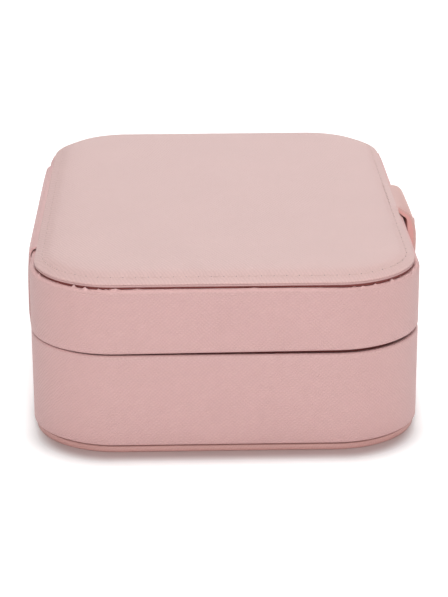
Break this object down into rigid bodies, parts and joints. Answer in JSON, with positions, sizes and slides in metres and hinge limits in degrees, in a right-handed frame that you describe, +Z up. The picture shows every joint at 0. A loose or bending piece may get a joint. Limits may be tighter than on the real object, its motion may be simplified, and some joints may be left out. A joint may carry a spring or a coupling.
{
  "type": "leather jewellery case",
  "caption": "Small rounded rectangular leather case with a padded hinged lid, a press-stud strap, ring rolls, compartments, a mirror, necklace hooks and a pocket.",
  "frame": {"origin": "centre of the case's outline, on the surface that it stands on", "axes": "+Z up; X along the long side; the strap is at -Y and the spine at +Y"},
  "size_m": [0.165, 0.1224, 0.0544],
  "materials": {
    "outer_leather": "satin cross-grain leather, pink",
    "lining_leather": "smooth matt leather, pink",
    "grey_board": "matt grey board",
    "velvet": "short-pile velvet, dusty pink",
    "pocket_satin": "gathered satin, pink",
    "foam": "matt foam",
    "hinge_cloth": "matt woven tape",
    "mirror_glass": "silvered glass",
    "brass": "polished light gold"
  },
  "bodies": {
    "base": {"bottom_panel": "outer_leather", "bottom_board": "grey_board", "base_floor": "grey_board", "base_frame": "grey_board", "base_side_band": "outer_leather", "base_wall_lining": "velvet", "base_floor_pad": "velvet", "ring_card": "grey_board", "ring_roll_1": "velvet", "ring_roll_2": "velvet", "ring_roll_3": "velvet", "ring_roll_4": "velvet", "ring_roll_5": "velvet", "ring_roll_6": "velvet", "ring_roll_7": "velvet", "ring_roll_8": "velvet", "long_divider": "velvet", "cross_divider": "velvet", "short_divider": "velvet", "snap_stud": "brass", "snap_post": "brass", "spine": "outer_leather", "hinge_tape": "hinge_cloth"},
    "lid": {"top_panel": "outer_leather", "top_backing": "lining_leather", "top_board": "grey_board", "top_foam": "foam", "lid_deck": "grey_board", "lid_frame": "grey_board", "lid_side_band": "outer_leather", "lid_wall_lining": "velvet", "lid_ceiling_pad": "velvet", "mirror_backing": "grey_board", "mirror_glass": "mirror_glass", "mirror_frame": "lining_leather", "hook_strip": "lining_leather", "necklace_hook_1": "brass", "necklace_hook_2": "brass", "necklace_hook_3": "brass", "pocket_panel": "pocket_satin", "pocket_hem": "pocket_satin"},
    "strap": {"strap_outer": "outer_leather", "strap_lining": "lining_leather", "snap_socket": "brass", "snap_cap": "brass"}
  },
  "joints": [
    {"name": "lid_hinge", "type": "hinge", "parent": "base", "child": "lid", "pos_m": [0, 0.0575, 0.0305], "axis": [-1, 0, 0], "range_deg": [0, 110], "deforming": ["spine", "hinge_tape"]},
    {"name": "strap_release", "type": "hinge", "parent": "lid", "child": "strap", "pos_m": [0, -0.0559, 0.0527], "axis": [-1, 0, 0], "range_deg": [0, 120]}
  ]
}
